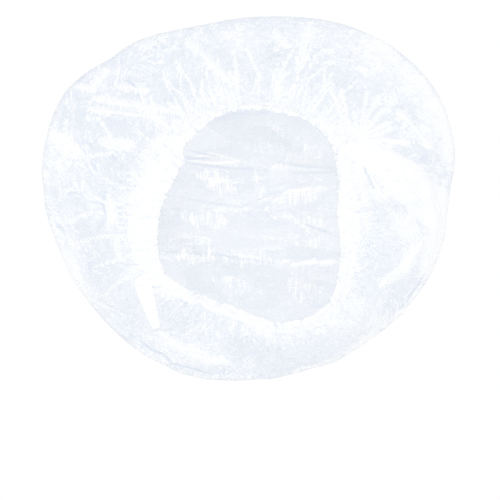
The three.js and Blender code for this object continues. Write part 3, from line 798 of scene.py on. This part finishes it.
for number, (half, (start, end)) in enumerate(HALVES.items()):
    seed = 60 + 10 * number
    along = np.linspace(start, end, HEM_STEPS)[:, None]
    nominal = around(HEM_WIDTHS, along)
    width = nominal * (1 + HEM_FRILL * facets(along * HEM_FRILLS, 0 * along, 160, 55))
    share = np.abs(np.linspace(-1, 1, HEM_SIDES, endpoint=False))[None, :]
    upper = np.where(np.arange(HEM_SIDES) < HEM_SIDES // 2, 1.0, -1.0)[None, :]
    across = share ** 1.3 * width
    gathers = facets(along * HEM_GATHERS, across / 9 + 20, 512, seed)
    fine = facets(along * HEM_FINE_GATHERS + across / 11, across / 4 + 20, 1024, seed + 1)
    slow = facets(along * HEM_SLOW_GATHERS, across / 16 + 20, 128, seed + 2)

    # The bend over the thread, and two legs that close at the seal and settle on the film.
    roll = np.sqrt(np.clip(HEM_ROLL ** 2 - (across - THREAD_INSET) ** 2, 0, None))
    leg = 0.25 + 1.1 * (1 - ease(across / width, 0.1, 0.95))
    close = 1 - ease(share, 0.9, 1.0)
    settle = ease(across / width, 0.35, 0.95)
    height = upper * np.maximum(roll, leg * close) + 0.4 * upper * gathers * close
    height = (1 - settle) * (height + 0.5 * slow + 0.5 * gathers) + settle * (0.1 + 0.15 * upper * close)
    height = height + 0.2 * fine * close + settle * film_below(along, across, nominal)
    crinkle = 0.8 * facets(along * EDGE_CRINKLES, 0 * along, 512, seed + 3)
    crinkle += 0.6 * facets(along * EDGE_SCALLOPS, 0 * along, 256, seed + 4)
    plan = mouth_edge(np.broadcast_to(along, across.shape), across + crinkle * (1 - share) ** 2)
    hem_points = np.concatenate([plan, (HEM_HEIGHT + height)[..., None]], -1)
    hem = new_piece(f"{half}_hem", hem_points, tube_faces(HEM_STEPS, HEM_SIDES))
    hem.data.set_sharp_from_angle(angle=HEM_SHARP_ANGLE)

    # Sharp bends are white, and the valleys between gathers get painted shade, most of all at the hem's
    # edges.
    hem_bends = np.abs(np.diff(height, 2, axis=0, prepend=height[:1], append=height[-1:]))
    store(hem.data, "crease", hem_bends / SHARP_BEND)
    store(hem.data, "opening", around(HEM_OPENING, along) * ease(share + 0.22 * gathers, 0.55, 1.0))
    edges = np.maximum(1 - ease(across, 1.5, 5.0), 0.7 * ease(share, 0.75, 1.0))
    store(hem.data, "painted_valley_shade", ease(-0.6 * gathers - 0.4 * fine, 0.1, 0.55) * (0.3 + 0.7 * edges))
    hem.data.materials.append(hem_look)
    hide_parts(f"{half}_hem_casing")
    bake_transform(hem)

# The end welds are the fused ends of the web, where all its pleats come together in a ribbed bundle.
# A flat end seal, ribbed by the pleats in it, runs on from the bundle and lies over the skirt.
WELD_REACH = 85.433
# Each weld's side of the fold line's middle, and its seal's heading in degrees.
WELDS = {"right": (-1, -38.0), "left": (1, -73.0)}
# The bundle's profile: place along it and radius.
BUNDLE_PROFILE = [
    (-6.5, 0.6), (-6.0, 2.0), (-4.0, 3.0), (-1.5, 3.5), (0.5, 2.9), (1.5, 2.7), (2.5, 2.9), (4.5, 3.5),
    (7.5, 3.8), (10.0, 3.6), (11.6, 2.8), (12.4, 1.2),
]
BUNDLE_RIBS = 14
BUNDLE_VALLEY = (1, 0.8, 0.74)
BUNDLE_FLATNESS = 0.5
BUNDLE_SINK = 0.8
SEAL_ROOT = 7.0
SEAL_LENGTH = 38.0
SEAL_WIDTHS = [12, 13, 12.5, 12, 11, 10, 9, 7.5, 6]
SEAL_ROWS = 60
SEAL_COLUMNS = 10
SEAL_START_HEIGHT = 60.0
SEAL_LIFT = 0.35
SEAL_WALL = 0.3
RIB_ROWS = 4
RIB_HEIGHT = 0.12
ROW_NEARNESS = 1e-5
SEAL_SMOOTHING = 3
WELD_SHARP_ANGLE = math.radians(60)
WELD_SHADE = (0.9, 0.912, 0.94, 1)
WELD_POLISH = (0.18, 0.45)
WELD_GRAIN = 520.0

weld_look, add = new_material("fused_film")
place = add("ShaderNodeTexCoord").outputs["Object"]
grain = noise(add, place, WELD_GRAIN, 4.0)
colour = tinted(add, grain, WELD_SHADE, GATHER_WHITE)
polish = ranged(add, grain, 0.0, 1.0, *WELD_POLISH)
density = ranged(add, grain, 0.0, 1.0, *HEM_DENSITY)
ripple = bumped(add, grain, 0.4, 0.0004)
glossy_film(add, colour, polish, lets_light_on(add, density, GATHER_SHADE), ripple)


def choose(mesh, test):
    """Selects the vertices that pass a test, in edit mode."""
    bpy.ops.mesh.select_all(action="DESELECT")
    bpy.ops.object.mode_set(mode="OBJECT")
    for vertex in mesh.vertices:
        vertex.select = test(vertex.co)
    bpy.ops.object.mode_set(mode="EDIT")


def apply_place():
    """Puts the active object's place, turn and scale into its mesh."""
    bpy.ops.object.transform_apply(location=True, rotation=True, scale=True)


def rounded(piece, levels):
    """Smooths a piece by subdivision."""
    smooth = piece.modifiers.new("round", "SUBSURF")
    smooth.levels = smooth.render_levels = levels
    bpy.ops.object.modifier_apply(modifier=smooth.name)


def ribbed_bundle(end, outward):
    """A ribbed star drawn out along the fold line, thinner at its crimp and its ends."""
    bpy.ops.object.select_all(action="DESELECT")
    first, radius = BUNDLE_PROFILE[0]
    bpy.ops.mesh.primitive_circle_add(vertices=2 * BUNDLE_RIBS, radius=radius * MM, fill_type="NGON",
                                      location=(0, 0, 0), rotation=(0, math.pi / 2, 0))
    bundle = bpy.context.object
    apply_place()
    bpy.ops.object.mode_set(mode="EDIT")
    bpy.ops.mesh.select_all(action="SELECT")
    before = first
    for along, wide in BUNDLE_PROFILE[1:]:
        bpy.ops.mesh.extrude_region_move(TRANSFORM_OT_translate={"value": ((along - before) * MM, 0, 0)})
        bpy.ops.transform.resize(value=(1, wide / radius, wide / radius),
                                 center_override=((along - first) * MM, 0, 0))
        before, radius = along, wide
    bpy.ops.mesh.select_all(action="SELECT")
    bpy.ops.mesh.normals_make_consistent(inside=False)
    rib = math.pi / BUNDLE_RIBS
    choose(bundle.data, lambda co: round(math.atan2(co.z, co.y) / rib) % 2 == 1)
    bpy.ops.transform.resize(value=BUNDLE_VALLEY, center_override=(0, 0, 0))
    bpy.ops.object.mode_set(mode="OBJECT")
    rounded(bundle, 2)
    start = end + first * outward
    bundle.location = (start[0] * MM, start[1] * MM, (HEM_HEIGHT - BUNDLE_SINK) * MM)
    bundle.rotation_euler = (0, 0, math.atan2(outward[1], outward[0]))
    bundle.scale = (1, 1, BUNDLE_FLATNESS)
    apply_place()
    return bundle


def end_seal(root, heading):
    """A strip laid on the skirt, tapered to its tip, ribbed and given its thickness."""
    bpy.ops.object.select_all(action="DESELECT")
    bpy.ops.mesh.primitive_grid_add(x_subdivisions=SEAL_ROWS, y_subdivisions=SEAL_COLUMNS, size=1.0,
                                    location=(0.5, 0, 0))
    seal = bpy.context.object
    apply_place()
    seal.scale = (SEAL_LENGTH * MM, SEAL_WIDTHS[0] * MM, 1)
    apply_place()
    bpy.ops.object.mode_set(mode="EDIT")
    for row in range(1, SEAL_ROWS + 1):
        spot = row / SEAL_ROWS * SEAL_LENGTH * MM
        choose(seal.data, lambda co: abs(co.x - spot) < ROW_NEARNESS)
        wide = np.interp(row / SEAL_ROWS, np.linspace(0, 1, len(SEAL_WIDTHS)), SEAL_WIDTHS)
        bpy.ops.transform.resize(value=(1, wide / SEAL_WIDTHS[0], 1), center_override=(spot, 0, 0))
    bpy.ops.object.mode_set(mode="OBJECT")
    seal.location = (root[0] * MM, root[1] * MM, SEAL_START_HEIGHT * MM)
    seal.rotation_euler = (0, 0, heading)
    apply_place()
    lay = seal.modifiers.new("lay", "SHRINKWRAP")
    lay.target = film
    lay.wrap_method = "PROJECT"
    lay.use_project_z = True
    lay.use_negative_direction = True
    lay.use_positive_direction = False
    lay.wrap_mode = "ABOVE_SURFACE"
    lay.offset = SEAL_LIFT * MM
    bpy.ops.object.modifier_apply(modifier=lay.name)
    settle = seal.modifiers.new("settle", "SMOOTH")
    settle.iterations = SEAL_SMOOTHING
    bpy.ops.object.modifier_apply(modifier=settle.name)
    bpy.ops.object.mode_set(mode="EDIT")
    way = np.array([math.cos(heading), math.sin(heading)])
    row_length = SEAL_LENGTH / SEAL_ROWS * MM
    choose(seal.data, lambda co: round((np.array(co[:2]) - root * MM) @ way / row_length) % RIB_ROWS < 2)
    bpy.ops.transform.translate(value=(0, 0, RIB_HEIGHT * MM))
    bpy.ops.object.mode_set(mode="OBJECT")
    wall = seal.modifiers.new("wall", "SOLIDIFY")
    wall.thickness = SEAL_WALL * MM
    wall.offset = 0
    bpy.ops.object.modifier_apply(modifier=wall.name)
    rounded(seal, 1)
    return seal


for side, (sign, heading) in WELDS.items():
    outward = sign * FOLD_AXIS[:2]
    end = FOLD_MIDDLE[:2] + WELD_REACH * outward
    bundle = ribbed_bundle(end, outward)
    seal = end_seal(end + SEAL_ROOT * outward, math.radians(heading))
    bpy.ops.object.select_all(action="DESELECT")
    seal.select_set(True)
    bundle.select_set(True)
    bpy.context.view_layer.objects.active = bundle
    bpy.ops.object.join()
    bundle.name = bundle.data.name = f"{side}_end_seal"
    bundle.data.shade_smooth()
    bundle.data.set_sharp_from_angle(angle=WELD_SHARP_ANGLE)
    bundle.data.materials.append(weld_look)
    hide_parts(f"{side}_end_weld")
    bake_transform(bundle)

# The floor is a plain white table, and the light is soft and comes from all round with a key at the right.
# Camera rays see white where nothing lies, and the cap keeps a faint shadow. Lengths are in metres here.
TABLE_SIZE = 12
TABLE_LEVEL = -0.0004
TABLE_GLOW = 0.93
TABLE_SHADOW = (0.08, 0.08, 0.08, 1)
TABLE_GREY = (0.8, 0.8, 0.8, 1)
WHITE = (1, 1, 1, 1)
SKY_LIGHT = 0.82
LAMP_SIZE = 0.16
# Each lamp's place and power.
LAMPS = {
    "key_right": ((0.9, 0.35, 1.1), 2.1),
    "fill_left": ((-0.95, 0.3, 1.0), 1.85),
    "fill_front": ((-0.1, -0.95, 1.0), 2.4),
    "back_top": ((-0.1, 0.85, 1.15), 1.45),
}
LAMP_AIM = (0, 0, 0.02)


def seen_white(add):
    """1 for rays that show the surroundings, straight or in gloss, and 0 for rays that light the cap."""
    rays = add("ShaderNodeLightPath").outputs
    seen = either(add, rays["Is Camera Ray"], rays["Is Glossy Ray"])
    return either(add, seen, rays["Is Transmission Ray"])


bpy.ops.object.select_all(action="DESELECT")
bpy.ops.mesh.primitive_plane_add(size=TABLE_SIZE, location=(0, 0, TABLE_LEVEL))
floor = bpy.context.object
floor.name = "table"
table_look, add = new_material("white_table")
glow = add("ShaderNodeEmission", {"Color": WHITE, "Strength": TABLE_GLOW}).outputs[0]
dim = add("ShaderNodeBsdfDiffuse", {"Color": TABLE_SHADOW}).outputs[0]
plain = add("ShaderNodeBsdfDiffuse", {"Color": TABLE_GREY}).outputs[0]
bright = add("ShaderNodeAddShader", {0: glow, 1: dim}).outputs[0]
mixed = add("ShaderNodeMixShader", {0: seen_white(add), 1: plain, 2: bright}).outputs[0]
add("ShaderNodeOutputMaterial", {"Surface": mixed})
floor.data.materials.append(table_look)

world = bpy.data.worlds.new("studio")
world.use_nodes = True
add = node_adder(world.node_tree)
brightness = ranged(add, seen_white(add), first=SKY_LIGHT, last=1.0)
sky = add("ShaderNodeBackground", {"Color": WHITE, "Strength": brightness}).outputs[0]
add("ShaderNodeOutputWorld", {"Surface": sky})
bpy.context.scene.world = world

for name, (place, power) in LAMPS.items():
    lamp = bpy.data.lights.new(name, "AREA")
    lamp.shape = "SQUARE"
    lamp.size = LAMP_SIZE
    lamp.energy = power
    holder = bpy.data.objects.new(name, lamp)
    holder.location = place
    aim = np.array(LAMP_AIM) - np.array(place)
    holder.rotation_euler = (math.acos(-aim[2] / np.linalg.norm(aim)), 0, math.atan2(-aim[0], aim[1]))
    holder.visible_camera = False
    bpy.context.scene.collection.objects.link(holder)

# The camera looks straight down into the mouth from about 2 m.
# Its long lens shows the hem and the rim at nearly the same scale.
CAMERA_PLACE = (0.00152, -0.03876, 2.117)
CAMERA_LENS = 200
SENSOR_WIDTH = 36
camera_data = bpy.data.cameras.new("overhead")
camera_data.lens = CAMERA_LENS
camera_data.sensor_width = SENSOR_WIDTH
camera = bpy.data.objects.new("overhead", camera_data)
camera.location = CAMERA_PLACE
bpy.context.scene.collection.objects.link(camera)
bpy.context.scene.camera = camera
bpy.context.scene.view_settings.view_transform = "Standard"
